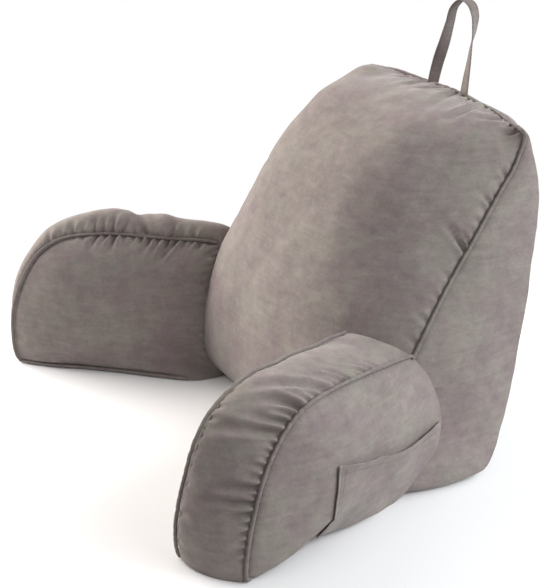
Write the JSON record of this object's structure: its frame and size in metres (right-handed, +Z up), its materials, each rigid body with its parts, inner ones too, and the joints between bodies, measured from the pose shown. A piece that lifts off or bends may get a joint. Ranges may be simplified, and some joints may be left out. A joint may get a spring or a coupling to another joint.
{
  "type": "reading pillow with arms",
  "caption": "Stuffed velvet reading pillow: a leaning wedge back cushion with piped seams, a padded arm splayed out at each side, a patch pocket and a carrying handle.",
  "frame": {"origin": "on the resting surface, under the middle of the whole pillow's box, on the back cushion's flat base", "axes": "+Z up, -Y the way the pillow faces, from the back cushion towards the front ends of the arms, +X towards the arm that carries the pocket"},
  "size_m": [0.8318, 0.643, 0.5912],
  "materials": {
    "velvet": "short-pile velvet, taupe grey, matt with a soft sheen",
    "piping_velvet": "the same velvet, sewn round a thin cord",
    "strap_velvet": "the same velvet, folded flat and topstitched"
  },
  "bodies": {
    "root": {"back_cushion": "velvet", "back_piping": "piping_velvet", "arm_right": "velvet", "arm_left": "velvet", "arm_right_inner_piping": "piping_velvet", "arm_right_outer_piping": "piping_velvet", "arm_left_inner_piping": "piping_velvet", "arm_left_outer_piping": "piping_velvet", "handle": "strap_velvet", "pocket": "velvet"}
  },
  "joints": []
}
